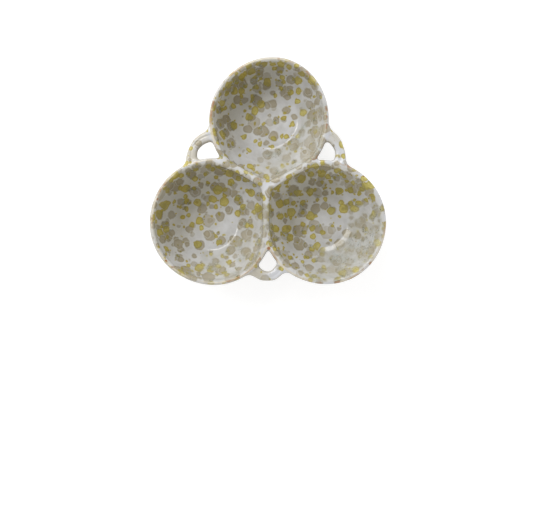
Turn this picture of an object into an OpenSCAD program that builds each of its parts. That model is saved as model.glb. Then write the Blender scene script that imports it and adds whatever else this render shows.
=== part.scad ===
// Divided serving bowl: three thrown bowls luted together in a clover, with a
// strap loop bent round each outer notch to carry it by.
// Millimetres, +Z up, origin on the table at the middle of the whole dish.

/* [Layout] */
// How far the widest rings of the two front bowls run into each other
front_overlap = 7; // [5:0.5:9]
// How far the widest rings of the rear bowl and each front bowl run into each other
side_overlap = 0.8; // [0.2:0.2:3]

/* [Bowls] */
// Outer diameter at the widest ring of a bowl
belly_d = 127; // [110:1:145]
// Height of the widest ring above the table
belly_height = 48; // [42:1:56]
// How far the rims rise above the widest rings, where they run into the dividers
rim_rise = 9; // [8:0.5:14]
// How far the wall curves in from the widest ring up to the lip
lip_inset = 1.25; // [0.5:0.25:3]
// Diameter of the flat foot
foot_d = 58; // [50:1:66]
// Thickness of the wall at the lip and the belly
wall = 5.5; // [4.5:0.25:6.5]
// Thickness of the floor of a bowl
floor_t = 7; // [5:0.5:9]
// Diameter of the flat part of the floor inside
floor_d = 44; // [34:1:50]
// Width of the bare ring that a foot stands on
foot_ring_w = 5; // [3:0.5:9]
// Depth of the turned recess under a foot
foot_recess = 1.2; // [0.6:0.2:2.5]
// How far a bowl's wall is pulled out of round towards the middle of the dish
corner_pull = 4.5; // [3:0.5:6]
// How far the left bowl leans, in degrees, its outer rim up
left_lean_angle = 2; // [0:0.2:3]
// How far the right bowl leans, in degrees, its outer rim down
right_lean_angle = 3.4; // [0:0.2:4]
// How far the rear bowl leans, in degrees, its far rim up
rear_lean_angle = 0.8; // [0:0.2:2]

/* [Dividers] */
// Thickness of a divider, the flattened walls of two bowls together
divider_w = 6.5; // [5:0.5:9]
// How far the tops of the dividers stay below the rims
divider_drop = 1.6; // [1.4:0.2:2.2]

/* [Seams] */
// Widest gap that a seam coil fills between its two bowls
seam_gap = 5; // [4:0.5:7]
// How far the seam coils and the plug stay below the rims
seam_drop = 2.4; // [2.2:0.2:3]
// Height of the centre plug
plug_h = 18.6; // [15:0.2:22]
// Distance from the middle of the dish to each flat face of the centre plug
plug_reach = 9; // [8:0.5:10]

/* [Loops] */
// Gap between the finger hole of the front loop and the widest rings of its bowls
front_loop_gap = 0; // [0:0.2:3]
// Gap between the finger hole of a side loop and the widest rings of its bowls
side_loop_gap = 2.6; // [0:0.2:4]
// Radius of the finger hole in a loop
loop_hole_r = 9.7; // [8.7:0.1:10.5]
// Width of the strap, seen from above
strap_w = 10; // [8:0.5:11]
// Height of the strap
strap_h = 12.5; // [9:0.5:14]
// Radius of the strap's rounded edges
strap_edge_r = 3.2; // [1:0.2:3.8]
// How far the tops of the loops stay below the rims
loop_drop = 3; // [2.6:0.2:6]
// Length of the strap's straight ends, before they are trimmed to the bowls
strap_leg = 10; // [9.5:0.5:12]

/* [Hidden] */

LEFT = 0;
RIGHT = 1;
REAR = 2;

belly_r = belly_d / 2;
lip_r = belly_r - lip_inset;
foot_r = foot_d / 2;
floor_r = floor_d / 2;
lip_round = wall / 2;
divider_round = divider_w / 2;
rim_height = belly_height + rim_rise;
divider_top = rim_height - divider_drop;
seam_top = rim_height - seam_drop;
loop_top = rim_height - loop_drop;

// Exponents of the flank curves: 2 would be a quarter ellipse
outer_power = 1.4;
inner_power = 1.6;
// The pulled wall starts this many times further in than it ends up further out
pull_lead_share = 1.4;
flank_steps = 16;
// First step of the flank that the pulled wall has
pull_step = 5;
shoulder_steps = 4;
// Where a bowl's turned surfaces start, well away from the lowest point of its lean
start_turn = 100;
half_lip_steps = 3;
edge_steps = 4;

// One overrun serves every cut
overrun = 2 * wall;
// Half a side of the blocks that trim one bowl against the next
trim = 2 * belly_d;

// Distances between the axes of the front bowls, and from their line to the rear bowl's axis
front_spacing = belly_d - front_overlap;
rear_reach = sqrt(pow(belly_d - side_overlap, 2) - pow(front_spacing / 2, 2));

bowl_centres = [
    [-front_spacing / 2, -rear_reach / 2],
    [front_spacing / 2, -rear_reach / 2],
    [0, rear_reach / 2]
];
bowl_leans = [left_lean_angle, -right_lean_angle, rear_lean_angle];

// The point that is equally far from the three bowls' axes
hub = [0, (pow(rear_reach, 2) - pow(front_spacing / 2, 2)) / (2 * rear_reach) - rear_reach / 2];
hub_r = norm(bowl_centres[REAR] - hub);

function heading(v) = atan2(v[1], v[0]);
function midpoint(i, j) = (bowl_centres[i] + bowl_centres[j]) / 2;
function half_gap(i, j) = norm(bowl_centres[i] - bowl_centres[j]) / 2;

// Direction from the hub out through a bowl's axis, or along a pair's seam
function bowl_angle(i) = heading(bowl_centres[i] - hub);
function seam_angle(i, j) = heading(midpoint(i, j) - hub);

// A leaning bowl keeps its rim at the rim height on the side of the dividers
lean_arm = pow(half_gap(LEFT, REAR), 2) / hub_r;
function rim(i) = rim_height + lean_arm * sin(bowl_leans[i]);

// The lean carries the foot out from under the widest ring
function foot_centre(i) =
    bowl_centres[i] + belly_height * sin(bowl_leans[i]) * [cos(bowl_angle(i)), sin(bowl_angle(i))];

// A quarter of a rounded curve: 0 at t = 0, 1 at t = 1
function bulge(t, power) = pow(1 - pow(1 - t, power), 1 / power);

// Even turns along the curve, as shares of its height
function rise_share(i) = 1 - pow(cos(90 * i / flank_steps), 2 / outer_power);

// How much slimmer the pulled wall is than the round one at a share of the height
function slimming(share) = pull_lead_share * corner_pull * (1 - share);

function outer_r(share) = foot_r + (belly_r - foot_r) * bulge(share, outer_power);
function inner_r(share) = floor_r + (belly_r - wall - floor_r) * bulge(share, inner_power);

function backwards(list) = [for (i = [len(list) - 1 : -1 : 0]) list[i]];

// From the widest ring up to the start of the rounded lip, inset by an amount
function shoulder(top, inset) = [
    for (i = [1 : shoulder_steps])
        let (u = i / shoulder_steps)
        [
            belly_r - (belly_r - lip_r) * u * u - inset,
            belly_height + (top - lip_round - belly_height) * u
        ]
];

// One half of the rounded lip, from the outer side up or from the inner side up
function half_lip(top, side) = [
    for (i = [0 : half_lip_steps - 1])
        let (a = 90 * (i + 1 / 2) / half_lip_steps)
        [lip_r - lip_round + side * lip_round * cos(a), top - lip_round + lip_round * sin(a)]
];

// The outside of a bowl from one step of its flank up, as a filled solid
module outside(top, first, slim) {
    flank = [
        for (i = [first : flank_steps])
            let (share = rise_share(i))
            [outer_r(share) - slim * slimming(share), belly_height * share]
    ];
    base = first == 0 ? [[0, -overrun], [foot_r, -overrun]] : [[0, flank[0][1]]];
    rim_line = half_lip(top, 1);
    rotate([0, 0, start_turn])
        rotate_extrude($fn = 180)
            polygon(concat(base, flank, shoulder(top, 0), rim_line, [[0, rim_line[half_lip_steps - 1][1]]]));
}

// The room inside a bowl from one step of its flank up, run out over the rim
module inside(top, first, slim) {
    flank = [
        for (i = [first : flank_steps])
            let (share = rise_share(i))
            [inner_r(share) - slim * slimming(share), floor_t + (belly_height - floor_t) * share]
    ];
    rim_line = half_lip(top, -1);
    rotate([0, 0, start_turn])
        rotate_extrude($fn = 180)
            polygon(concat(
                [[0, flank[0][1]]],
                flank,
                shoulder(top, wall),
                rim_line,
                [[rim_line[half_lip_steps - 1][0], top + overrun], [0, top + overrun]]
            ));
}

// Leans a bowl about the middle of its widest ring and stands it in its place, +X to the outside
module stand(i) {
    translate([bowl_centres[i][0], bowl_centres[i][1], belly_height])
        rotate([0, -bowl_leans[i], bowl_angle(i)])
            translate([0, 0, -belly_height])
                children();
}

module bowl_envelope(i) {
    stand(i) {
        outside(rim(i), 0, 0);
        translate([-corner_pull, 0, 0])
            outside(rim(i), pull_step, 1);
    }
}

module bowl_room(i) {
    stand(i) {
        inside(rim(i), 0, 0);
        translate([-corner_pull, 0, 0])
            inside(rim(i), pull_step, 1);
    }
}

// A frame on the middle of a pair's divider, +X towards bowl j
module at_divider(i, j) {
    translate([midpoint(i, j)[0], midpoint(i, j)[1], 0])
        rotate([0, 0, heading(bowl_centres[j] - bowl_centres[i])])
            children();
}

// Everything on bowl j's side of the upright plane halfway between bowls i and j
module beyond_divider(i, j) {
    at_divider(i, j)
        translate([0, -trim, -trim])
            cube([trim, 2 * trim, 2 * trim]);
}

// Bowl i's half of the divider towards bowl j, round on top, run out over the plane
module divider_wall(i, j) {
    quarter = [
        for (k = [0 : edge_steps])
            let (a = 90 * k / edge_steps)
            [-divider_round * sin(a), divider_top - divider_round + divider_round * cos(a)]
    ];
    at_divider(i, j)
        translate([0, belly_r, 0])
            rotate([90, 0, 0])
                linear_extrude(height = 2 * belly_r)
                    polygon(concat(
                        [[wall, floor_t], [wall, divider_top]],
                        quarter,
                        [[-divider_round, floor_t]]
                    ));
}

// A bowl with flat walls where it meets its neighbours, turned flat and hollow underneath
module joined_bowl(i, neighbours) {
    difference() {
        union() {
            difference() {
                bowl_envelope(i);
                bowl_room(i);
            }
            for (j = neighbours)
                intersection() {
                    bowl_envelope(i);
                    divider_wall(i, j);
                }
        }
        for (j = neighbours)
            beyond_divider(i, j);
        translate([-trim, -trim, -trim])
            cube([2 * trim, 2 * trim, trim]);
        translate([foot_centre(i)[0], foot_centre(i)[1], -overrun])
            cylinder(r = foot_r - foot_ring_w, h = overrun + foot_recess, $fn = 120);
    }
}

// The pulled walls' axes stand this far back along the seam from the middle of the divider
function pull_offset(i, j) = corner_pull * norm(midpoint(i, j) - hub) / hub_r;

// Distance from those axes to where the gap between the walls is half used up
function pull_near(i, j) = half_gap(i, j) * (1 - corner_pull / hub_r) - seam_gap / 2;

// Half the length of seam over which the gap stays under the seam gap, at a share of the height
function seam_half(i, j, share) =
    sqrt(max(0, pow(outer_r(share) - slimming(share), 2) - pow(pull_near(i, j), 2)));

// Clay worked along the groove under a divider and up its outer end, seen square to the seam
module seam_outline(i, j) {
    back = pull_offset(i, j);
    plug_face = norm(midpoint(i, j) - hub) - plug_reach;
    shares = [
        for (k = [pull_step : flank_steps])
            if (seam_half(i, j, rise_share(k)) > 0)
                rise_share(k)
    ];
    polygon(concat(
        [for (share = backwards(shares)) [max(-seam_half(i, j, share) - back, -plug_face), belly_height * share]],
        [for (share = shares) [seam_half(i, j, share) - back, belly_height * share]],
        [[seam_half(i, j, 1) - back, seam_top], [-back, seam_top], [-back, belly_height]]
    ));
}

module seam_coil(i, j) {
    difference() {
        translate([midpoint(i, j)[0], midpoint(i, j)[1], 0])
            rotate([90, 0, seam_angle(i, j)])
                translate([0, 0, -wall])
                    linear_extrude(height = 2 * wall)
                        seam_outline(i, j);
        bowl_envelope(i);
        bowl_envelope(j);
    }
}

// Where two faces of the plug meet, the angles being their directions from the hub
function corner(angle_a, angle_b) =
    let (half_turn = (angle_b - angle_a) / 2, a = angle_a + half_turn)
    hub + plug_reach / cos(half_turn) * [cos(a), sin(a)];

module plug() {
    front = seam_angle(LEFT, RIGHT);
    right = seam_angle(RIGHT, REAR);
    left = seam_angle(REAR, LEFT);
    difference() {
        translate([0, 0, seam_top - plug_h])
            linear_extrude(height = plug_h)
                polygon([corner(front, right), corner(right, left), corner(left, front + 360)]);
        for (i = [LEFT, RIGHT, REAR])
            bowl_envelope(i);
    }
}

// Section of the strap: a block with rounded edges, its middle at the origin
function strap_corner(side_x, side_y, start) = [
    for (i = [0 : edge_steps])
        let (a = start + 90 * i / edge_steps)
        [
            side_x * (strap_w / 2 - strap_edge_r) + strap_edge_r * cos(a),
            side_y * (strap_h / 2 - strap_edge_r) + strap_edge_r * sin(a)
        ]
];

module strap_section() {
    polygon(concat(
        strap_corner(1, 1, 0),
        strap_corner(-1, 1, 90),
        strap_corner(-1, -1, 180),
        strap_corner(1, -1, 270)
    ));
}

// A strap bent round into a loop, with both ends thumbed on to the bowls of a pair
module loop_handle(i, j, gap) {
    bend_r = loop_hole_r + strap_w / 2;
    loop_reach = sqrt(pow(belly_r + gap + loop_hole_r, 2) - pow(half_gap(i, j), 2));
    difference() {
        translate([midpoint(i, j)[0], midpoint(i, j)[1], loop_top - strap_h / 2])
            rotate([0, 0, seam_angle(i, j)])
                translate([loop_reach, 0, 0]) {
                    rotate([0, 0, -90])
                        rotate_extrude(angle = 180, $fn = 120)
                            translate([bend_r, 0])
                                strap_section();
                    for (side = [-1, 1])
                        translate([0, side * bend_r, 0])
                            rotate([90, 0, -90])
                                linear_extrude(height = strap_leg)
                                    strap_section();
                }
        bowl_envelope(i);
        bowl_envelope(j);
    }
}

module bowl_left() color([0.78, 0.77, 0.73]) joined_bowl(LEFT, [RIGHT, REAR]);
module bowl_right() color([0.78, 0.77, 0.73]) joined_bowl(RIGHT, [LEFT, REAR]);
module bowl_rear() color([0.78, 0.77, 0.73]) joined_bowl(REAR, [LEFT, RIGHT]);
module seam_coil_front() color([0.82, 0.81, 0.79]) seam_coil(LEFT, RIGHT);
module seam_coil_left() color([0.82, 0.81, 0.79]) seam_coil(LEFT, REAR);
module seam_coil_right() color([0.82, 0.81, 0.79]) seam_coil(RIGHT, REAR);
module centre_plug() color([0.8, 0.76, 0.55]) plug();
module loop_handle_front() color([0.8, 0.79, 0.76]) loop_handle(LEFT, RIGHT, front_loop_gap);
module loop_handle_left() color([0.8, 0.79, 0.76]) loop_handle(LEFT, REAR, side_loop_gap);
module loop_handle_right() color([0.8, 0.79, 0.76]) loop_handle(RIGHT, REAR, side_loop_gap);

bowl_left();
bowl_right();
bowl_rear();
seam_coil_front();
seam_coil_left();
seam_coil_right();
centre_plug();
loop_handle_front();
loop_handle_left();
loop_handle_right();
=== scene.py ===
# %% [markdown]
# # A divided serving bowl in spattered glaze
#
# The dish is three thrown stoneware bowls, luted together in a clover while the clay was
# leather-hard, with a strap of clay bent into a finger loop in each outer notch. It was dipped in
# a white glaze, spattered inside with a taupe and a yellow one, and fired once more. The lesson
# builds the clay as one smooth body, cuts it back into the pieces that the potter joined, scatters
# the glaze drops over it, and ends with the glaze, the light and the camera.

# %% Load the frame
import math
import time
import bmesh
import bpy
import mathutils
import numpy as np
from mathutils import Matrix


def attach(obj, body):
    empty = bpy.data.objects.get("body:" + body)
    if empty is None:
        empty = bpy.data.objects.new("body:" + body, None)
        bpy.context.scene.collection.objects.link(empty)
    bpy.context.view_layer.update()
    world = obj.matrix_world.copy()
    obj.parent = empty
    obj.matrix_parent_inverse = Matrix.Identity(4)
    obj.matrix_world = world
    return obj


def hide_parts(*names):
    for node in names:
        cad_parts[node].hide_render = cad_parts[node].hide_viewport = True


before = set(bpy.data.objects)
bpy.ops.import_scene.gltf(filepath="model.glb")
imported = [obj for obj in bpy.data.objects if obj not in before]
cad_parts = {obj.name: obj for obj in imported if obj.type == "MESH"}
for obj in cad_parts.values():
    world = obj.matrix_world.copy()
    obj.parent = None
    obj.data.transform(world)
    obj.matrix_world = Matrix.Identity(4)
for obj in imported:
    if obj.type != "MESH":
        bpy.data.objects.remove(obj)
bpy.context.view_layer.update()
started = time.perf_counter()


def clock(words):
    """Prints how far the script has come."""
    print(f"{time.perf_counter() - started:6.1f} s  {words}")


# %% [markdown]
# ## The camera first
#
# The photograph shows the dish from straight above, high up in a nearly square frame. A camera can
# be aimed at the dish and shifted, or it can hang far away over the middle of the picture and look
# straight down. The second way needs no shift, so every other view stays centred, and from
# 2.5 m the slant is too small to see.

# %% Hang the camera over the middle of the picture
IMAGE_WIDTH_PX = 533
MM_PER_PX = 1.055
RIM_LEVEL = 0.057
CAMERA_HEIGHT = 2.5

camera_data = bpy.data.cameras.new("camera")
camera = bpy.data.objects.new("camera", camera_data)
bpy.context.scene.collection.objects.link(camera)
camera_data.sensor_width = 36
camera_data.lens = 36 * CAMERA_HEIGHT / (IMAGE_WIDTH_PX * MM_PER_PX / 1000)
camera.location = (-0.0019, -0.0956, RIM_LEVEL + CAMERA_HEIGHT)
bpy.context.scene.camera = camera
print("lens, mm:", round(camera_data.lens, 1))

# %% [markdown]
# ## The clay body as a distance field
#
# Where two thrown bowls meet, the potter works the clay until no edge is left, and the glaze rounds
# it further. Turned meshes joined by a boolean would meet in hard creases, and a bevel can't follow
# such a seam. A distance field does it in one rule: each form is a function that says how far a
# point is from its surface, and a smooth minimum joins two forms with a fillet. So this main piece
# is written as numpy functions, in millimetres, with the same sizes as the construction.

# %% Sizes of the bowls, in millimetres
BELLY_R, BELLY_Z = 63.5, 48.0
RIM_Z, LIP_INSET = 57.0, 1.25
FOOT_R, FOOT_RING, RECESS = 29.0, 5.0, 1.2
FLOOR_R, FLOOR_Z, WALL = 22.0, 7.0, 5.5
THROWN_FLOORS, THROWN_POWERS, LIP_WALL = [25.0, 25.5, 29.5], [1.47, 1.45, 1.5], 4.8
CORNER_PULL, PULL_LEAD = 4.5, 1.4
ROOM_PULL = 14.0
ROOM_CORNER = [49.0, 52.0, 54.0]
OUTER_POWER, INNER_POWER = 1.4, 1.6
HALF_DIVIDER = 3.25
LIP_ROLL = 4.6
DIVIDER_DRIFT = 2.6
CENTRES = np.array([[-60.0, -55.5], [60.0, -55.5], [0.0, 55.5]])
LEANS = np.radians([2.0, -3.4, 0.8])
LEFT, RIGHT, REAR = 0, 1, 2
HUB = np.array([0.0, (111.0**2 - 60.0**2) / 222.0 - 55.5])
SEAMS = {"front": (LEFT, RIGHT), "left": (LEFT, REAR), "right": (RIGHT, REAR)}


def unit(v):
    return v / np.linalg.norm(v)


OUT = np.array([unit(c - HUB) for c in CENTRES])
HUB_R = np.linalg.norm(CENTRES[REAR] - HUB)
MIDS = {k: (CENTRES[i] + CENTRES[j]) / 2 for k, (i, j) in SEAMS.items()}
ALONG = {k: unit(m - HUB) for k, m in MIDS.items()}
HALF_GAPS = {k: np.linalg.norm(CENTRES[i] - CENTRES[j]) / 2 for k, (i, j) in SEAMS.items()}
LEAN_ARM = HALF_GAPS["left"] ** 2 / HUB_R
RIMS = RIM_Z + LEAN_ARM * np.sin(LEANS)
print("rims, mm:", RIMS.round(1), "hub:", HUB.round(1))

# %% [markdown]
# ## Profiles, as a potter's ribs
#
# A turned form is known from its profile alone. Each profile is drawn as a line of points, and its
# distance is measured once on a fine sheet of radius against height. Later a point in space only
# looks its distance up on that sheet, which is fast enough for millions of points.

# %% Draw the outside and inside profiles and measure a sheet for each
SHEET_STEP = 0.5
SHEET_R, SHEET_Z = np.arange(0, 100, SHEET_STEP), np.arange(-14, 84, SHEET_STEP)


def bulge(t, power):
    return (1 - (1 - t) ** power) ** (1 / power)


SHARE = 1 - np.cos(np.linspace(0, np.pi / 2, 41)) ** (2 / 1.4)


def upper_wall(belly_r):
    """The wall above the belly, leaning in to the lip and run straight on above the rim."""
    up = np.linspace(0, 1, 7)[1:]
    top_r = belly_r - LIP_INSET * up**2
    top = np.column_stack([top_r, BELLY_Z + (RIM_Z - BELLY_Z) * up])
    return np.vstack([top, [[top_r[-1] - 0.4, RIM_Z + 6], [top_r[-1] - 0.8, 120]]])


def outside_profile(slim=0.0):
    """From the foot up; slim is one where the wall is pulled in towards the hub."""
    slimming = slim * PULL_LEAD * CORNER_PULL * (1 - SHARE)
    r = FOOT_R + (BELLY_R - FOOT_R) * bulge(SHARE, OUTER_POWER) - slimming
    lower = np.column_stack([r, BELLY_Z * SHARE])
    return np.vstack([[[0, -20], [r[0], -20]], lower, upper_wall(r[-1])])


def corner_profile(corner):
    """The narrower profile of a room where it is pushed out towards the hub."""
    inset = BELLY_R - WALL - corner
    slimming = inset + (FLOOR_R - inset + 2) * (1 - SHARE) ** 1.5
    r = FLOOR_R + (BELLY_R - WALL - FLOOR_R) * bulge(SHARE, INNER_POWER) - slimming
    r = np.maximum(r, 0.5)
    lower = np.column_stack([r, FLOOR_Z + (BELLY_Z - FLOOR_Z) * SHARE])
    return np.vstack([[[0, FLOOR_Z]], lower, upper_wall(r[-1])])


def thrown_profile(floor, power):
    """A room with a floor of its own, which opens all the way up to a thinner lip."""
    r = floor + (BELLY_R - LIP_WALL - floor) * bulge(SHARE, power)
    line = np.column_stack([r, FLOOR_Z + (RIM_Z - FLOOR_Z) * SHARE])
    return np.vstack([[[0, FLOOR_Z]], line, [[r[-1], RIM_Z + 6], [r[-1], 120]]])


def sheet(line):
    """Signed distance to a profile on the sheet, below zero on the side of the axis."""
    R, Z = np.meshgrid(SHEET_R, SHEET_Z, indexing="ij")
    P = np.stack([R, Z], -1)[:, :, None, :]
    a, b = line[:-1], line[1:]
    ab = b - a
    t = np.clip(((P - a) * ab).sum(-1) / (ab * ab).sum(-1), 0, 1)
    d = np.linalg.norm(P - (a + t[..., None] * ab), axis=-1).min(-1)
    z_at, r_at = line[:, 1], line[:, 0]
    reach = np.interp(SHEET_Z, z_at, r_at)
    within = (R < reach) & (Z > z_at[0])
    return np.where(within, -d, d)


OUTSIDE, OUTSIDE_PULLED = sheet(outside_profile()), sheet(outside_profile(slim=1))
ROOMS = [sheet(thrown_profile(f, p)) for f, p in zip(THROWN_FLOORS, THROWN_POWERS)]
CORNERS = [sheet(corner_profile(c)) for c in ROOM_CORNER]


def look_up(table, r, z):
    """Reads a sheet between its points."""
    x = np.clip(r / SHEET_STEP, 0, len(SHEET_R) - 1.001)
    y = np.clip((z - SHEET_Z[0]) / SHEET_STEP, 0, len(SHEET_Z) - 1.001)
    i, j = x.astype(int), y.astype(int)
    u, v = x - i, y - j
    low = table[i, j] * (1 - u) + table[i + 1, j] * u
    high = table[i, j + 1] * (1 - u) + table[i + 1, j + 1] * u
    return low * (1 - v) + high * v


clock("profiles measured")

# %% [markdown]
# ## Joining, cutting and rounding
#
# Three small rules do all the potter's work: a soft union presses two forms together with a fillet
# of clay, a soft cut trims one by another, and a rounded cut leaves an edge of a known radius, as a
# wet sponge leaves a rim.


# %% Rules for joining and cutting
def soft_union(a, b, k):
    h = np.clip(1 - np.abs(a - b) / k, 0, 1)
    return np.minimum(a, b) - 0.25 * k * h * h


def past_both(a, b):
    """Distance past two bounds at once, with a square corner where they meet."""
    return np.hypot(np.maximum(a, 0), np.maximum(b, 0)) + np.minimum(np.maximum(a, b), 0)


def soft_cut(a, b, k):
    """What is inside both forms, with the inner edge smoothed."""
    return -soft_union(-a, -b, k)


def rounded_cut(a, b, radius):
    """What is inside both forms, with their outer edge rounded to a radius."""
    u, v = np.maximum(a + radius, 0), np.maximum(b + radius, 0)
    return np.hypot(u, v) - radius + np.minimum(np.maximum(a, b) + radius, 0)


def ease(x, low, high):
    t = np.clip((x - low) / (high - low), 0, 1)
    return t * t * (3 - 2 * t)


# %% [markdown]
# ## Signs of the hand
#
# No thrown bowl is a true circle. Each gets its own slow wander in radius and in rim height, and
# faint rings where the fingers rose up the wall. The rings are hundredths of a millimetre deep and
# show in the reflections alone, while the wander reaches about 2 mm and shows in the outline. The
# two front bowls keep nearer to their circle beside the front notch, which leaves it open.

# %% Wander of each bowl
WANDER = [
    [(0, 2.3, 0.0), (1, 0.5, 2.18), (2, 0.55, -3.0), (4, 0.34, 0.38), (3, 0.15, 2.1)],
    [(0, 1.2, 0.0), (1, 0.27, 0.06), (3, 0.13, 1.81), (4, 0.23, 1.12), (5, 0.12, 3.2)],
    [(1, 1.25, 1.19), (2, 0.8, 1.04), (3, 0.45, 1.11), (4, 0.28, 1.09)],
]
NOTCH_ANGLE, NOTCH_SPREAD, NOTCH_CALM = 2.147, 0.3, 0.95
RIM_WANDER = [
    [(2, 0.45, 1.0), (3, 0.30, 0.2)],
    [(2, 0.40, 2.4), (3, 0.35, 4.1)],
    [(2, 0.35, 0.1), (3, 0.30, 3.0)],
]


def wander(terms, angle):
    return sum(amount * np.cos(count * angle + start) for count, amount, start in terms)


def on_wheel(i, P):
    """A point seen from bowl i's wheel: +x away from the hub, z up its own axis."""
    out, lean = OUT[i], LEANS[i]
    across = np.array([-out[1], out[0]])
    flat = P[:, :2] - CENTRES[i]
    x, y, z = flat @ out, flat @ across, P[:, 2] - BELLY_Z
    return (
        x * math.cos(lean) + z * math.sin(lean),
        y,
        z * math.cos(lean) - x * math.sin(lean) + BELLY_Z,
    )


def bowl(i, P):
    """Distances of one bowl: its filled outside, its room, and its rim plane."""
    x, y, z = on_wheel(i, P)
    angle = np.arctan2(y, x)
    away = ease(z, 4, 40)
    drift = wander(WANDER[i], angle) * away
    if i != REAR:
        notch = NOTCH_ANGLE if i == LEFT else -NOTCH_ANGLE
        near = np.exp(-(((angle - notch) / NOTCH_SPREAD) ** 2))
        drift = drift * (1 - NOTCH_CALM * near)
    r, pulled = np.hypot(x, y) - drift, np.hypot(x + CORNER_PULL, y) - drift
    pushed = np.hypot(x + ROOM_PULL, y) - drift
    rings = np.sin(1.1 * z + angle + 1.3 * i) + np.sin(0.63 * z - 2 * angle + i)
    rings = 0.03 * rings * ease(z, 8, 30) * (1 - ease(z, 48, 54))
    swirl = 0.09 * np.sin(0.9 * r - angle) * (1 - ease(z, 22, 40))
    outside = soft_union(look_up(OUTSIDE, r, z), look_up(OUTSIDE_PULLED, pulled, z), 1.0)
    room = soft_union(look_up(ROOMS[i], r, z), look_up(CORNERS[i], pushed, z), 4.0)
    top = z - RIMS[i] - wander(RIM_WANDER[i], angle)
    return outside - rings, room + swirl, top


# %% [markdown]
# ## Straps and seams
#
# Each loop is a pulled strap: a flat band with soft edges and a groove down its length, bent into
# a half circle with two short legs that are thumbed on to the walls. Its distance comes from its
# path seen from above and its section, so the band keeps its width all the way round.

# %% The strap loops and the clay in the outer notches
STRAP_W = {"front": 10.4, "left": 10.2, "right": 10.6}
LOOP_FILLETS = {"front": 3.6, "left": 4.3, "right": 4.3}
LOOP_ROOTS = {"front": (11, 19), "left": (8, 17), "right": (8, 17)}
STRAP_H, STRAP_EDGE = 12.5, 3.8
LOOP_TOP = 54.6
LOOP_PATHS = {
    "front": [
        (41, -25), (45, -18.8), (49, -14.8), (52.8, -10.6), (55.3, -5.8), (56, -1), (55.5, 3.4),
        (53, 8), (49.2, 11.7), (45.2, 14.8), (40.5, 19),
    ],
    "left": [(36, -26), (44.5, -17.5), (52, -8), (54, 3.5), (49.5, 14.5), (43, 19), (35, 22)],
    "right": [(35, -22), (43, -14.5), (49.8, -4), (50.8, 8), (46, 17.5), (37, 26)],
}
NOTCH = {"front": 20.0, "left": 22.5, "right": 22.5}
COIL_BACK, COIL_FOOT, COIL_TOP = 12, 33.0, 54.0


def smooth_path(points, steps=6):
    """A rounded line through the points."""
    points = np.array(points, float)
    ends = np.vstack([2 * points[0] - points[1], points, 2 * points[-1] - points[-2]])
    line = []
    for a, b, c, d in zip(ends[:-3], ends[1:-2], ends[2:-1], ends[3:]):
        for t in np.linspace(0, 1, steps, endpoint=False):
            line.append(
                0.5 * (2 * b + (c - a) * t + (2 * a - 5 * b + 4 * c - d) * t**2
                       + (3 * b - 3 * c + d - a) * t**3)
            )
    return np.array(line + [points[-1]])


PATHS = {k: smooth_path(points) for k, points in LOOP_PATHS.items()}


def on_seam(k, P):
    """A point seen from the middle of a divider: s outward along it, w across it."""
    flat = P[:, :2] - MIDS[k]
    return flat @ ALONG[k], flat @ np.array([-ALONG[k][1], ALONG[k][0]])


def from_path(k, s, w):
    """How far a point is from the strap's path, above zero on the outer side."""
    line = PATHS[k]
    a, b = line[:-1], line[1:]
    ab = b - a
    p = np.column_stack([s, w])[:, None, :] - a
    t = np.clip((p * ab).sum(-1) / (ab * ab).sum(-1), 0, 1)
    off = p - t[..., None] * ab
    far = np.sqrt((off * off).sum(-1))
    best = far.argmin(1)
    row = np.arange(len(best))
    turn = ab[best, 1] * off[row, best, 0] - ab[best, 0] * off[row, best, 1]
    return far[row, best] * np.sign(turn)


def strap(k, P):
    """Distance to the strap, and how far to its outer side a point is."""
    s, w = on_seam(k, P)
    near = (s > 30) & (s < 68) & (np.abs(w) < 36) & (P[:, 2] > 30)
    band, side = np.full(len(P), 20.0), np.zeros(len(P))
    path = from_path(k, s[near], w[near])
    rise = P[near, 2] - (LOOP_TOP - STRAP_H / 2) + 0.6 * ease(s[near], 38, 54)
    thumbed = 1.3 * ease(np.abs(w[near]), *LOOP_ROOTS[k])
    wide = STRAP_W[k] / 2 + 0.3 * np.sin(0.35 * w[near] + len(k)) + thumbed
    across = np.abs(path) - (wide - STRAP_EDGE)
    up = np.abs(rise) - (STRAP_H / 2 - STRAP_EDGE)
    shape = past_both(across, up) - STRAP_EDGE
    groove = 0.5 * np.exp(-(((path - 1.4) / 1.0) ** 2)) * ease(rise, 0, 4)
    crease = 0.45 * np.exp(-(((rise - 1.2) / 1.0) ** 2)) * ease(path, 0, 3)
    band[near], side[near] = shape + groove + crease, path
    return band, side


def notch_coil(k, P):
    s, w = on_seam(k, P)
    coil = past_both(np.abs(s - (NOTCH[k] - COIL_BACK)) - 11, np.abs(w) - 0.9) - 1.0
    return np.maximum(np.maximum(coil, P[:, 2] - COIL_TOP), COIL_FOOT - P[:, 2])


# %% [markdown]
# ## The wad in the middle
#
# Three round bowls leave a three-cornered hole between them. The potter presses a wad of clay into
# it, and the three walls close over its top in a small pad.

# %% The plug of clay
PLUG_TOP, PLUG_FOOT, PLUG_R = 56.2, 36.0, 11.0


def plug_wad(P):
    far = np.linalg.norm(P[:, :2] - HUB, axis=1) - PLUG_R
    return np.maximum(np.maximum(far, P[:, 2] - PLUG_TOP), PLUG_FOOT - P[:, 2] - 0.25 * far)


# %% [markdown]
# ## The whole body
#
# The order is the potter's: press the outsides together, hollow the rooms so that a wall is left
# between two bowls, trim and sponge the rims, put the loops on, and flatten the feet.

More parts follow.
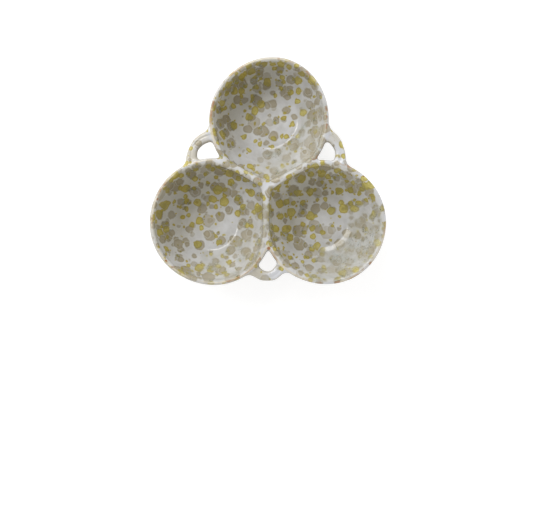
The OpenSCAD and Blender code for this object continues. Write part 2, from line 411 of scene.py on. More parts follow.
# %% One function for the whole body
def forms(P):
    """The three outsides, the room that is hollowed out of them, and the rim's top."""
    outsides, rooms, tops, weights = [], [], [], []
    for i in range(3):
        outside, room, top = bowl(i, P)
        beyond = np.full(len(P), -1e3)
        for j in range(3):
            if j != i:
                middle, side = (CENTRES[i] + CENTRES[j]) / 2, unit(CENTRES[j] - CENTRES[i])
                if REAR not in (i, j):
                    middle = middle - [DIVIDER_DRIFT, 0]
                beyond = np.maximum(beyond, (P[:, :2] - middle) @ side)
        outsides.append(outside)
        rooms.append(soft_cut(room, beyond + HALF_DIVIDER, 7.0))
        tops.append(top)
        weights.append(np.exp(-np.linalg.norm(P[:, :2] - CENTRES[i], axis=1) / 5.0))
    total = sum(weights) + 1e-30
    top = sum(w * t for w, t in zip(weights, tops)) / total
    for k in SEAMS:
        s, w = on_seam(k, P)
        aside = np.abs(w + DIVIDER_DRIFT * (k == "front"))
        top = top + (1 - ease(aside, 1.5, 9)) * ease(s, -30, 12)
    hollow = soft_union(soft_union(rooms[0], rooms[1], 2.5), rooms[2], 2.5)
    return outsides, hollow, top


def body(P):
    """Distance from points, in millimetres, to the surface of the dish."""
    outsides, hollow, top = forms(P)
    near = np.minimum.reduce([notch_coil(k, P) for k in SEAMS])
    clay = soft_union(soft_union(outsides[0], outsides[1], 5.0), outsides[2], 5.0)
    clay = soft_union(soft_union(clay, near, 5.0), plug_wad(P), 3.0)
    clay = soft_cut(rounded_cut(clay, top, 1.9), rounded_cut(-hollow, top, LIP_ROLL), 1.2)
    for k in SEAMS:
        band, side = strap(k, P)
        fillet = LOOP_FILLETS[k] * (1 + 0.9 * ease(side, -1, 4)) * ease(hollow, 2, 7) + 0.3
        clay = soft_union(clay, np.maximum(band, 3.2 - hollow), fillet)
    clay = rounded_cut(clay, -P[:, 2], 1.0)
    for i in range(3):
        foot = CENTRES[i] + BELLY_Z * math.sin(LEANS[i]) * OUT[i]
        under = np.maximum(
            np.linalg.norm(P[:, :2] - foot, axis=1) - (FOOT_R - FOOT_RING), P[:, 2] - RECESS
        )
        clay = soft_cut(clay, -under, 1.0)
    return clay


def slope(P, step=0.5):
    """Direction in which the distance grows, which is the surface's outward direction."""
    g = np.empty((len(P), 3))
    for axis in range(3):
        shift = np.zeros(3)
        shift[axis] = step
        g[:, axis] = body(P + shift) - body(P - shift)
    return g / (2 * step)


# %% [markdown]
# ## From field to mesh
#
# The field is sampled on a grid. Wherever the surface passes through a grid cell one vertex is put
# in the cell, and four neighbouring cells make a face: even quads with no stretched poles, which
# glossy glaze needs. Each vertex then slides along the slope until it lies exactly on the surface.

# %% Sample the field and lay the surface through it
GRID_STEP = 0.95
LOW, HIGH = np.array([-128.0, -122.5, -2.5]), np.array([128.0, 123.5, 66.0])


def sample_grid():
    axes = [np.arange(LOW[a], HIGH[a] + GRID_STEP, GRID_STEP) for a in range(3)]
    shape = [len(a) for a in axes]
    values = np.empty(shape, np.float32)
    X, Y = np.meshgrid(axes[0], axes[1], indexing="ij")
    for n, z in enumerate(axes[2]):
        layer = np.column_stack([X.ravel(), Y.ravel(), np.full(X.size, z)])
        values[:, :, n] = body(layer).reshape(X.shape)
    return axes, values


def clear_checkers(values):
    """Where four neighbours on a grid face alternate in sign, two sheets would share an edge, so
    the weakest of the four changes side."""
    for axis in range(3):
        p, q = [a for a in range(3) if a != axis]
        spans = [(slice(0, -1), slice(0, -1)), (slice(1, None), slice(0, -1)),
                 (slice(1, None), slice(1, None)), (slice(0, -1), slice(1, None))]
        four = []
        for a, b in spans:
            pick = [slice(None)] * 3
            pick[p], pick[q] = a, b
            four.append(values[tuple(pick)] < 0)
        bad = (four[0] == four[2]) & (four[1] == four[3]) & (four[0] != four[1])
        for at in np.argwhere(bad):
            spots = []
            for a, b in ((0, 0), (1, 0), (1, 1), (0, 1)):
                spot = at.copy()
                spot[p] += a
                spot[q] += b
                spots.append(tuple(spot))
            weakest = min(spots, key=lambda spot: abs(values[spot]))
            values[weakest] = -1e-3 if values[weakest] >= 0 else 1e-3


def lay_surface(axes, values):
    """Vertices and quads of the surface where the values change sign."""
    for _ in range(3):
        clear_checkers(values)
    inside = values < 0
    nx, ny, nz = inside.shape
    corner = [
        inside[a : nx - 1 + a, b : ny - 1 + b, c : nz - 1 + c]
        for a in (0, 1) for b in (0, 1) for c in (0, 1)
    ]
    count = sum(c.astype(np.int8) for c in corner)
    active = (count > 0) & (count < 8)
    index = np.full(active.shape, -1, np.int64)
    index[active] = np.arange(active.sum())
    cells = np.argwhere(active)
    total, hits = np.zeros((len(cells), 3)), np.zeros(len(cells))
    for axis in range(3):
        others = [a for a in range(3) if a != axis]
        for p in (0, 1):
            for q in (0, 1):
                first = cells.copy()
                first[:, others[0]] += p
                first[:, others[1]] += q
                second = first.copy()
                second[:, axis] += 1
                va, vb = values[tuple(first.T)], values[tuple(second.T)]
                cross = (va < 0) != (vb < 0)
                t = np.where(cross, va / np.where(cross, va - vb, 1), 0)
                place = first.astype(float)
                place[:, axis] += t
                total[cross] += place[cross]
                hits += cross
    points = total / hits[:, None] * GRID_STEP + [a[0] for a in axes]
    quads = []
    for axis in range(3):
        others = [(axis + 1) % 3, (axis + 2) % 3]
        near = [slice(None)] * 3
        far = [slice(None)] * 3
        near[axis], far[axis] = slice(0, -1), slice(1, None)
        change = inside[tuple(near)] != inside[tuple(far)]
        at = np.argwhere(change)
        spans = at[:, others]
        at = at[((spans > 0) & (spans < np.array(active.shape)[others])).all(1)]
        around = []
        for p, q in ((-1, -1), (0, -1), (0, 0), (-1, 0)):
            cell = at.copy()
            cell[:, others[0]] += p
            cell[:, others[1]] += q
            around.append(index[tuple(cell.T)])
        quad = np.stack(around, 1)
        flip = ~inside[tuple(at.T)]
        quad[flip] = quad[flip][:, ::-1]
        quads.append(quad)
    return points, np.vstack(quads)


def settle(points, rounds=3):
    """Slides points along the slope until they lie on the surface."""
    for _ in range(rounds):
        g = slope(points)
        d = body(points)
        move = (d / np.maximum((g * g).sum(1), 0.25))[:, None] * g
        points = points - np.clip(move, -0.8 * GRID_STEP, 0.8 * GRID_STEP)
    return points


axes, values = sample_grid()
clock("field sampled")
points, quads = lay_surface(axes, values)
points = settle(points)
clock(f"{len(points)} vertices, {len(quads)} faces; off the surface by at most "
      f"{np.abs(body(points)).max():.3f} mm")


def mesh_object(name, verts_mm, faces):
    mesh = bpy.data.meshes.new(name)
    mesh.from_pydata((np.asarray(verts_mm) / 1000).tolist(), [], [list(f) for f in faces])
    mesh.validate()
    mesh.update()
    made = bpy.data.objects.new(name, mesh)
    bpy.context.scene.collection.objects.link(made)
    return made


whole = mesh_object("whole_body", points, quads)

# %% [markdown]
# ## Back into the potter's pieces
#
# The real dish was joined from separate pieces, and each one is kept as its own object: three
# bowls, three loops, the clay in three seams and the wad in the middle. A straight-sided cutter for
# each piece is laid along the real joint, and a boolean with the quick Manifold solver cuts the
# body. The joint faces meet exactly, so nothing shows outside. The cut also leaves hair-thin faces
# and small crumbs, which are cleaned away before the shading.

# %% Cutters along the joints
def prism(name, outline, origin, right, up, low, high):
    """A closed prism: an outline in two directions, run from low to high along the third."""
    outline = np.array(outline, float)
    x, y = np.append(outline[:, 0], outline[0, 0]), np.append(outline[:, 1], outline[0, 1])
    if (x[:-1] * y[1:] - x[1:] * y[:-1]).sum() < 0:
        outline = outline[::-1]
    right, up = np.array(right, float), np.array(up, float)
    way = np.cross(right, up)
    flat = np.array(origin) + outline[:, :1] * right + outline[:, 1:] * up
    n = len(outline)
    verts = np.vstack([flat + low * way, flat + high * way])
    faces = [list(range(n))[::-1], list(range(n, 2 * n))]
    faces += [[k, (k + 1) % n, n + (k + 1) % n, n + k] for k in range(n)]
    return mesh_object(name, verts, faces)


def upright(name, outline):
    """A cutter from a plan outline, far above and below the dish."""
    return prism(name, outline, (0, 0, 0), (1, 0, 0), (0, 1, 0), -20, 90)


PLUG_REACH, COIL_HALF, COIL_COVER, ROOT = 8.0, 3.0, 2.6, 63.3
ROOT_AT = {"front": (46.0, 18.0), "left": (45.0, 17.5), "right": (44.0, 17.0)}
REACH = 160.0


def meeting(a, b):
    """Where two faces of the plug meet."""
    middle = unit(ALONG[a] + ALONG[b])
    return HUB + middle * PLUG_REACH / (middle @ ALONG[a])


plug_faces = (("front", "right"), ("right", "left"), ("left", "front"))
plug_cutter = upright("cut_plug", [meeting(a, b) for a, b in plug_faces])

sector_cutters = []
for i, (a, b) in enumerate((("left", "front"), ("front", "right"), ("right", "left"))):
    middle = HUB - [DIVIDER_DRIFT, 0]
    far = [middle + ALONG[a] * REACH, middle + OUT[i] * 2 * REACH, middle + ALONG[b] * REACH]
    sector_cutters.append(upright(f"cut_sector_{i}", [middle] + far))

loop_cutters, coil_cutters = {}, {}
for k, (i, j) in SEAMS.items():
    across = np.array([-ALONG[k][1], ALONG[k][0]])
    gap = HALF_GAPS[k]
    root = unit(np.array([ROOT_AT[k][0], -(gap - ROOT_AT[k][1])]))
    tip = (ROOT - gap * -root[1]) / root[0]
    edge = np.array([-root[1], root[0]])
    spread = 70.0
    wedge = [MIDS[k] + ALONG[k] * tip]
    for sign in (1, -1):
        aside = across * sign * spread * edge[1]
        wedge.append(MIDS[k] + ALONG[k] * (tip + spread * edge[0]) + aside)
    loop_cutters[k] = upright(f"cut_loop_{k}", wedge)
    start = PLUG_REACH - np.linalg.norm(MIDS[k] - HUB)
    line = np.arange(start, NOTCH[k] - COIL_BACK, 2.0)
    heights = np.arange(20, 57, 0.25)
    under = []
    for s in line:
        column = np.column_stack([np.tile(MIDS[k] + ALONG[k] * s, (len(heights), 1)), heights])
        solid = body(column) < 0
        under.append((s, heights[solid.argmax()] + COIL_COVER if solid.any() else 50.0))
    outline = [(start, -20)] + under + [(line[-1], 90), (tip + 4, 90), (tip + 4, -20)]
    coil_cutters[k] = prism(
        f"cut_coil_{k}", outline, (*MIDS[k], 0), (*ALONG[k], 0), (0, 0, 1), -COIL_HALF, COIL_HALF
    )
    print(k, "loop from", round(tip, 1), "mm beyond the middle of the divider; seam groove at",
          [round(h, 1) for _, h in under][::6])


# %% [markdown]
# Each piece is the body kept inside its own cutter and taken out of the others. The shading
# direction of every vertex is then set from the field itself, so that two neighbours shade as one
# glazed surface across their joint, while the joint faces inside stay flat.

# %% Cut the pieces
def cut(thing, cutter, how):
    step = thing.modifiers.new("cut", "BOOLEAN")
    step.solver, step.operation, step.object = "MANIFOLD", how, cutter
    depsgraph = bpy.context.evaluated_depsgraph_get()
    mesh = bpy.data.meshes.new_from_object(thing.evaluated_get(depsgraph))
    thing.modifiers.remove(step)
    return mesh


def piece(name, keep, take=()):
    made = bpy.data.objects.new(name, cut(whole, keep, "INTERSECT"))
    bpy.context.scene.collection.objects.link(made)
    for other in take:
        made.data = cut(made, other, "DIFFERENCE")
    return made


CRUMB_FACES, SLIVER_M = 100, 5e-6


def crumbs(work):
    """Faces of the small loose bits that a cut leaves beside the piece."""
    seen, loose = set(), []
    for first in work.faces:
        if first in seen:
            continue
        seen.add(first)
        group, ahead = [], [first]
        while ahead:
            face = ahead.pop()
            group.append(face)
            for edge in face.edges:
                if len(edge.link_faces) == 2:
                    for other in edge.link_faces:
                        if other not in seen:
                            seen.add(other)
                            ahead.append(other)
        if len(group) < CRUMB_FACES:
            loose += group
    return loose


def without_slivers(thing):
    """Closes the hair-thin faces that a cut leaves, and gives back how many edges are then open."""
    work = bmesh.new()
    work.from_mesh(thing.data)
    for _ in range(3):
        bmesh.ops.dissolve_degenerate(work, dist=SLIVER_M, edges=work.edges)
        bmesh.ops.delete(work, geom=crumbs(work), context="FACES")
        bare_edges = [edge for edge in work.edges if not edge.link_faces]
        bmesh.ops.delete(work, geom=bare_edges, context="EDGES")
        rims = [edge for edge in work.edges if len(edge.link_faces) == 1]
        bmesh.ops.holes_fill(work, edges=rims, sides=0)
        bmesh.ops.triangulate(work, faces=[face for face in work.faces if len(face.verts) > 4])
        left_open = sum(len(edge.link_faces) != 2 for edge in work.edges)
        if not left_open:
            break
    bmesh.ops.recalc_face_normals(work, faces=work.faces)
    work.to_mesh(thing.data)
    work.free()
    return left_open


def points_of(thing):
    co = np.empty(len(thing.data.vertices) * 3)
    thing.data.vertices.foreach_get("co", co)
    return co.reshape(-1, 3)


def shade_by_field(thing):
    mesh = thing.data
    g = slope(points_of(thing) * 1000)
    g /= np.linalg.norm(g, axis=1)[:, None]
    corners = np.empty(len(mesh.loops), int)
    mesh.loops.foreach_get("vertex_index", corners)
    faces = np.empty(len(mesh.polygons) * 3)
    mesh.polygons.foreach_get("normal", faces)
    sizes = np.empty(len(mesh.polygons), int)
    mesh.polygons.foreach_get("loop_total", sizes)
    flat = np.repeat(faces.reshape(-1, 3), sizes, axis=0)
    smooth = g[corners]
    use = (flat * smooth).sum(1) > 0.6
    normals = np.where(use[:, None], smooth, flat)
    mesh.polygons.foreach_set("use_smooth", np.ones(len(mesh.polygons), bool))
    mesh.normals_split_custom_set(normals.tolist())


loops_and_coils = [*loop_cutters.values(), *coil_cutters.values()]
pieces = {"centre_plug": piece("plug_of_clay", plug_cutter)}
for i, name in enumerate(("left", "right", "rear")):
    pieces[f"bowl_{name}"] = piece(
        f"thrown_bowl_{name}", sector_cutters[i], [plug_cutter, *loops_and_coils]
    )
for k in SEAMS:
    pieces[f"loop_handle_{k}"] = piece(f"strap_loop_{k}", loop_cutters[k])
    others = [loop_cutters[k], plug_cutter]
    pieces[f"seam_coil_{k}"] = piece(f"coil_of_clay_{k}", coil_cutters[k], others)
for name, thing in pieces.items():
    print(name, "edges left open:", without_slivers(thing))
    shade_by_field(thing)
for cutter in [plug_cutter, *sector_cutters, *loops_and_coils]:
    bpy.data.objects.remove(cutter)
clock("pieces cut: " + ", ".join(f"{k} {len(t.data.polygons)}" for k, t in pieces.items()))

# %% [markdown]
# ## Where the glaze lies
#
# The dish was spattered from above, so the drops lie thick inside, thin on the rims, and only a few
# run down the outside. A shader could make spots from a texture, but it couldn't know inside from
# outside. So each piece carries measured values on its points: how far inside it is, how far below
# the rim and from the rim's edge, how near to the low side of a bowl, where the melt ran together
# into a pool, and how far towards the north-west wall of a bowl it lies. The yellow drops lean to
# that wall, and the glaze paints shade on it, because those walls face away from the lamps.

# %% Measure inside and outside on every point
def store(thing, name, numbers):
    layer = thing.data.attributes.new(name, "FLOAT", "POINT")
    layer.data.foreach_set("value", np.asarray(numbers, np.float32))


POOLS = [(20, 0.75), (17, 1.0), (25, 0.8)]
for thing in [whole, *pieces.values()]:
    P = points_of(thing) * 1000
    outsides, hollow, top = forms(P)
    inside = 1 - ease(hollow, 2.2, 4.8)
    store(thing, "inner", inside)
    store(thing, "below_rim", -top)
    store(thing, "edge", np.hypot(np.minimum.reduce(outsides) + 0.6, top + 0.4))
    # The second list grows towards the north-west wall of each bowl. The yellow drops lean there,
    # and the glaze paints shade there, because those walls face away from the lamps.
    pooled, flicked = [], []
    for centre, (ring, amount) in zip(CENTRES, POOLS):
        flat = P[:, :2] - centre
        away = np.linalg.norm(flat, axis=1)
        near = away < 64
        towards = (flat @ [0.72, -0.69]) / (away + 1e-6)
        pooled.append(amount * ease(away, ring, ring + 16) * ease(towards, -0.05, 0.9) * near)
        flicked.append(np.where(near, -towards * ease(away, 6, 34), -1))
    store(thing, "pool", np.maximum.reduce(pooled) * inside)
    store(thing, "flicked", np.maximum.reduce(flicked) * inside)
clock("inside and outside measured")

# %% [markdown]
# ## Spattered drops, with Geometry Nodes
#
# Spatter repeats over a surface, which is work for Geometry Nodes. The tree scatters drops of a few
# sizes over the whole body, with a fixed seed and a least distance between two of a kind, and lets
# the yellow ones lean to one side of each bowl. Then it asks of every point of a piece how deep it
# lies inside the nearest drop. Heights are shortened before measuring, so that a round drop in that
# squeezed space is a long drip on a real wall. All the pieces ask the same drops, so a drop that
# crosses a joint goes on unbroken.

# %% A short way to write node trees
def wire(tree, value, socket):
    if isinstance(value, bpy.types.NodeSocket):
        tree.links.new(value, socket)
    elif value is not None:
        socket.default_value = value


def node(tree, kind, inputs=(), out=0, **settings):
    """Adds a node, sets it up, joins its inputs and gives back one of its outputs."""
    made = tree.nodes.new(kind)
    for key, value in settings.items():
        setattr(made, key, value)
    pairs = inputs.items() if isinstance(inputs, dict) else enumerate(inputs)
    for key, value in pairs:
        wire(tree, value, made.inputs[key])
    return made.outputs[out]


def reckon(tree, how, a, b=None, c=None):
    return node(tree, "ShaderNodeMath", (a, b, c), operation=how)


def reckon_vector(tree, how, a, b=None, out=0):
    return node(tree, "ShaderNodeVectorMath", (a, b), out=out, operation=how)


# %% The tree of drops
# per square metre, mm apart, smallest and largest radius in mm, seed, height share, lean
DROP_KINDS = {
    "taupe_wide": (12000, 12.5, 4.0, 7.2, 11, 0.4, 0.0),
    "taupe_middle": (12000, 10.5, 2.6, 5.4, 29, 0.4, 0.0),
    "taupe_fine": (12000, 8.5, 1.2, 3.2, 23, 0.4, 0.0),
    "yellow_wide": (14000, 9.5, 2.5, 5.2, 37, 0.38, 0.8),
    "yellow_middle": (18000, 7.5, 1.4, 3.2, 53, 0.4, 0.8),
    "yellow_fine": (9000, 5, 0.7, 1.5, 41, 0.5, 0.3),
}


def named(tree, name):
    return node(tree, "GeometryNodeInputNamedAttribute", {"Name": name}, data_type="FLOAT")


def stored(tree, geometry, name, value, kind="FLOAT"):
    return node(
        tree, "GeometryNodeStoreNamedAttribute",
        {"Geometry": geometry, "Name": name, "Value": value}, data_type=kind, domain="POINT",
    )


def of_nearest(tree, drops, nearest, value, kind):
    return node(
        tree, "GeometryNodeSampleIndex", {"Geometry": drops, "Value": value, "Index": nearest},
        data_type=kind, domain="POINT",
    )


def drop_tree():
    tree = bpy.data.node_groups.new("spattered_drops", "GeometryNodeTree")
    face = tree.interface
    face.new_socket("Geometry", in_out="INPUT", socket_type="NodeSocketGeometry")
    face.new_socket("Geometry", in_out="OUTPUT", socket_type="NodeSocketGeometry")
    sockets = {"body": face.new_socket("Body", in_out="INPUT", socket_type="NodeSocketObject")}
    for words in ("Drops per m2", "Least distance", "Smallest radius", "Largest radius",
                  "Height share", "Lean"):
        sockets[words] = face.new_socket(words, in_out="INPUT", socket_type="NodeSocketFloat")
    sockets["Seed"] = face.new_socket("Seed", in_out="INPUT", socket_type="NodeSocketInt")
    sockets["Glaze"] = face.new_socket("Glaze", in_out="INPUT", socket_type="NodeSocketMaterial")
    sockets["Name"] = face.new_socket("Name", in_out="INPUT", socket_type="NodeSocketString")
    given = tree.nodes.new("NodeGroupInput").outputs
    body_mesh = node(tree, "GeometryNodeObjectInfo", {"Object": given["Body"]}, out="Geometry")
    run_down = reckon(tree, "POWER", 0.9, reckon(tree, "MAXIMUM", named(tree, "below_rim"), 0.0))
    outside = reckon(tree, "MULTIPLY", run_down, 0.6)
    share = reckon(tree, "MAXIMUM", named(tree, "inner"), outside)
    leaning = reckon(tree, "MULTIPLY_ADD", named(tree, "flicked"), given["Lean"], 1.0)
    leaning = reckon(tree, "SUBTRACT", leaning, given["Lean"])
    drops = node(
        tree, "GeometryNodeDistributePointsOnFaces",
        {
            "Mesh": body_mesh, "Distance Min": given["Least distance"],
            "Density Max": given["Drops per m2"],
            "Density Factor": reckon(tree, "MULTIPLY", share, leaning), "Seed": given["Seed"],
        },
        out="Points", distribute_method="POISSON",
    )
    radius = node(
        tree, "FunctionNodeRandomValue",
        {2: given["Smallest radius"], 3: given["Largest radius"], "Seed": given["Seed"]},
        out=1, data_type="FLOAT",
    )
    drops = stored(tree, drops, "radius", radius)
    tone_seed = node(tree, "FunctionNodeIntegerMath", {0: given["Seed"], 1: 100}, operation="ADD")
    tone = node(tree, "FunctionNodeRandomValue", {"Seed": tone_seed}, out=1, data_type="FLOAT")
    drops = stored(tree, drops, "tone", tone)
    place = node(tree, "GeometryNodeInputPosition")
    squeeze = node(tree, "ShaderNodeCombineXYZ", (1.0, 1.0, given["Height share"]))
    squeezed = reckon_vector(tree, "MULTIPLY", place, squeeze)
    drops = node(tree, "GeometryNodeSetPosition", {"Geometry": drops, "Position": squeezed})
    wobble = node(
        tree, "ShaderNodeTexNoise",
        {"Vector": place, "Scale": 130.0, "Detail": 2.0, "Roughness": 0.5}, out="Color",
    )
    push = reckon_vector(tree, "SUBTRACT", wobble, (0.5, 0.5, 0.5))
    push = node(tree, "ShaderNodeVectorMath", {0: push, "Scale": 0.0052}, operation="SCALE")
    asked = reckon_vector(tree, "ADD", squeezed, push)
    nearest = node(
        tree, "GeometryNodeSampleNearest", {"Geometry": drops, "Sample Position": asked},
        domain="POINT",
    )
    centre = of_nearest(tree, drops, nearest, place, "FLOAT_VECTOR")
    reach = of_nearest(tree, drops, nearest, named(tree, "radius"), "FLOAT")
    tone = of_nearest(tree, drops, nearest, named(tree, "tone"), "FLOAT")
    away = reckon_vector(tree, "DISTANCE", asked, centre, out="Value")
    away = reckon(tree, "MULTIPLY", away, 1000.0)
    depth = reckon(tree, "SUBTRACT", reach, away)
    found = node(tree, "ShaderNodeCombineXYZ", (depth, tone, away))
    piece_out = stored(tree, given["Geometry"], given["Name"], found, "FLOAT_VECTOR")
    whole_out = node(tree, "GeometryNodeRealizeInstances", {"Geometry": piece_out})
    whole_out = node(
        tree, "GeometryNodeSetMaterial", {"Geometry": whole_out, "Material": given["Glaze"]}
    )
    tree.links.new(whole_out, tree.nodes.new("NodeGroupOutput").inputs[0])
    return tree, {key: socket.identifier for key, socket in sockets.items()}


glaze = bpy.data.materials.new("spattered_glaze")
drops, sockets = drop_tree()


def spatter(thing):
    """Runs the tree once for each kind of drop and turns the result into a plain mesh."""
    for name, (per_m2, apart, small, large, seed, stretch, lean) in DROP_KINDS.items():
        step = thing.modifiers.new(name, "NODES")
        step.node_group = drops
        given = {
            "body": whole, "Drops per m2": float(per_m2), "Least distance": apart / 1000,
            "Smallest radius": small, "Largest radius": large, "Height share": stretch,
            "Lean": lean / 2, "Seed": seed, "Glaze": glaze, "Name": name,
        }
        for words, value in given.items():
            step[sockets[words]] = value
    depsgraph = bpy.context.evaluated_depsgraph_get()
    mesh = bpy.data.meshes.new_from_object(thing.evaluated_get(depsgraph))
    thing.modifiers.clear()
    thing.data = mesh


whole.hide_render = True
for thing in pieces.values():
    spatter(thing)
for name in DROP_KINDS:
    found = [v.vector[0] for t in pieces.values() for v in t.data.attributes[name].data]
    print(name, "covers", round(100 * float((np.array(found) > 0).mean()), 1), "% of the points")
bpy.data.objects.remove(whole)
clock("drops scattered")

# %% [markdown]
# ## The glaze
#
# On the real dish one glossy white glaze carries two more glazes, flicked on wet: a granular taupe
# that spreads in soft blots, and an olive yellow that stays in crisp drops with darker edges. Where
# the two lie on each other, the melt turns olive and grows blue-grey crystals. Outside, only a thin
# satin coat was brushed on, and it is made darker and warmer towards the foot. One material can
# hold all of it, because the points say which drop they are in, and noise on the object's own
# coordinates gives what is finer than the mesh: ragged edges, grain and specks.

# %% Helpers for the glaze
glaze.use_nodes = True
kiln = glaze.node_tree
kiln.nodes.clear()


def srgb(r, g, b):
    """A colour as a screen shows it, 0 to 255, as the linear colour that a socket wants."""
    parts = [v / 255 for v in (r, g, b)]
    linear = [v / 12.92 if v <= 0.04045 else ((v + 0.055) / 1.055) ** 2.4 for v in parts]
    return (*linear, 1.0)


def measured(name):
    return node(kiln, "ShaderNodeAttribute", out="Fac", attribute_name=name)


def ramp(value, low, high, to_low=0.0, to_high=1.0):
    return node(
        kiln, "ShaderNodeMapRange", (value, low, high, to_low, to_high),
        interpolation_type="SMOOTHSTEP",
    )


def band(value, start, full, fade, end):
    """One between full and fade, and nothing outside start and end."""
    return reckon(kiln, "MULTIPLY", ramp(value, start, full), ramp(value, end, fade))


def blend(share, under, over):
    return node(kiln, "ShaderNodeMix", {0: share, 6: under, 7: over}, out=2, data_type="RGBA")


def both(a, b):
    return reckon(kiln, "MULTIPLY", a, b)


def greater(a, b):
    return reckon(kiln, "MAXIMUM", a, b)


def plus(a, b):
    return reckon(kiln, "ADD", a, b)


def grain(scale, detail=2.0, rough=0.5, at=None):
    return node(
        kiln, "ShaderNodeTexNoise",
        {"Vector": at or spot, "Scale": scale, "Detail": detail, "Roughness": rough},
        out="Fac",
    )


def off_middle(value, span):
    """Noise around a half, as a shift of up to half the span either way."""
    return reckon(kiln, "MULTIPLY_ADD", value, span, -span / 2)


spot = node(kiln, "ShaderNodeTexCoord", out="Object")
height = node(kiln, "ShaderNodeSeparateXYZ", (spot,), out="Z")
inner, below_rim = measured("inner"), measured("below_rim")

# %% White ground, inside and outside
cloud = grain(60.0, 4.0, 0.6)
pool = plus(measured("pool"), off_middle(grain(34.0, 3.0, 0.6), 2.2))
pool = both(ramp(pool, 0.1, 1.3), ramp(measured("pool"), 0.0, 0.35))
# Painted shade: the white inside is a little darker than the rim's white below, for the shade
# inside the bowls.
white = blend(ramp(cloud, 0.3, 0.7), srgb(185, 184, 182), srgb(202, 202, 203))
# Painted shade: towards the north-west walls of each bowl, which face away from the lamps, the
# white turns darker and warmer.
flicked = measured("flicked")
white = blend(ramp(flicked, -0.2, 0.9, 0.0, 0.45), white, srgb(190, 184, 162))
# Painted light: the rim's white is lighter than the white inside, for the light on the up-facing
# rims. Outside, it is also the white near the rim.
lit_lip_white = blend(ramp(cloud, 0.3, 0.7), srgb(194, 195, 197), srgb(204, 205, 208))
brushed_at = node(kiln, "ShaderNodeMapping", {"Vector": spot, "Scale": (9.0, 9.0, 210.0)})
brushed = grain(1.0, 3.0, 0.6, at=brushed_at)
# The outside coat is darker and warmer towards the foot.
coat = blend(ramp(height, 0.014, 0.05), srgb(176, 166, 147), srgb(184, 179, 166))
coat = blend(ramp(height, 0.001, 0.016), srgb(152, 143, 122), coat)
coat = blend(ramp(brushed, 0.35, 0.65, 0.0, 0.45), coat, srgb(196, 191, 178))
coat = blend(ramp(grain(28.0, 3.0, 0.6), 0.45, 0.65, 0.0, 0.4), coat, srgb(166, 156, 136))
near_rim = ramp(below_rim, 4.0, 1.5)
coat = blend(near_rim, coat, lit_lip_white)
ground = blend(inner, coat, white)

# %% Laying one kind of drop on what is under it
granules = grain(800.0, 4.0, 0.7)
mottles = grain(210.0, 4.0, 0.65)
ragged = off_middle(grain(330.0), 1.5)
melt = both(pool, 1.1)
splashed = greater(inner, ramp(below_rim, 15.0, 2.0))
held_back = reckon(kiln, "MULTIPLY_ADD", splashed, 9.0, -9.0)


def drop_values(name, raggedness=1.0):
    """How deep a point lies in its nearest drop, the drop's own lot, and how far its middle is."""
    found = kiln.nodes.new("ShaderNodeAttribute")
    found.attribute_name = name
    parts = kiln.nodes.new("ShaderNodeSeparateXYZ")
    wire(kiln, found.outputs["Vector"], parts.inputs[0])
    depth = reckon(kiln, "MULTIPLY_ADD", ragged, raggedness, parts.outputs["X"])
    depth = plus(depth, held_back)
    return depth, parts.outputs["Y"], parts.outputs["Z"]


def lay_taupe(under, name, strength):
    depth, lot, away = drop_values(name)
    halo = band(depth, -1.5, -0.7, -0.5, 0.1)
    under = blend(both(halo, 0.35), under, srgb(204, 204, 200))
    soft = plus(melt, 0.9)
    cover = ramp(depth, both(soft, -1.0), soft)
    cover = both(cover, ramp(granules, 0.25, 0.5, 0.7, 1.0))
    cover = both(cover, ramp(lot, 0.0, 0.5, 0.55, strength))
    hue = blend(lot, srgb(168, 158, 136), srgb(151, 141, 116))
    hue = blend(ramp(mottles, 0.35, 0.65, 0.0, 0.6), hue, srgb(148, 141, 123))
    hue = blend(ramp(granules, 0.35, 0.65, 0.0, 0.45), hue, srgb(172, 163, 140))
    # Painted shade: the taupe turns darker and browner towards the north-west walls, which face
    # away from the lamps.
    hue = blend(ramp(flicked, 0.1, 0.9, 0.0, 0.4), hue, srgb(130, 116, 78))
    edge = band(depth, -0.2, 0.4, 0.7, 2.0)
    hue = blend(both(edge, 0.4), hue, srgb(130, 120, 96))
    eye = both(ramp(away, 0.9, 0.35), ramp(lot, 0.62, 0.68))
    hue = blend(both(eye, 0.7), hue, srgb(186, 178, 158))
    return blend(cover, under, hue), cover, depth


def lay_yellow(under, name, taupe):
    depth, lot, away = drop_values(name, 0.8)
    soft = reckon(kiln, "MULTIPLY_ADD", melt, 1.1, 0.55)
    cover = both(ramp(depth, both(soft, -1.0), soft), 0.96)
    # Painted shade: the yellow is made deeper towards the north-west walls, which face away from
    # the lamps. The rest of its depth is each drop's own lot.
    deep = reckon(kiln, "MULTIPLY_ADD", lot, 0.5, ramp(flicked, -0.3, 0.8, 0.0, 0.5))
    hue = blend(deep, srgb(200, 190, 108), srgb(176, 157, 58))
    hue = blend(ramp(mottles, 0.4, 0.65, 0.0, 0.6), hue, srgb(158, 146, 74))
    edge = band(depth, -0.1, 0.3, 0.5, 1.6)
    hue = blend(both(edge, 0.7), hue, srgb(150, 132, 46))
    hue = blend(ramp(granules, 0.45, 0.7, 0.0, 0.35), hue, srgb(148, 128, 46))
    hue = blend(both(taupe, 0.55), hue, srgb(138, 128, 66))
    return blend(cover, under, hue), cover, depth


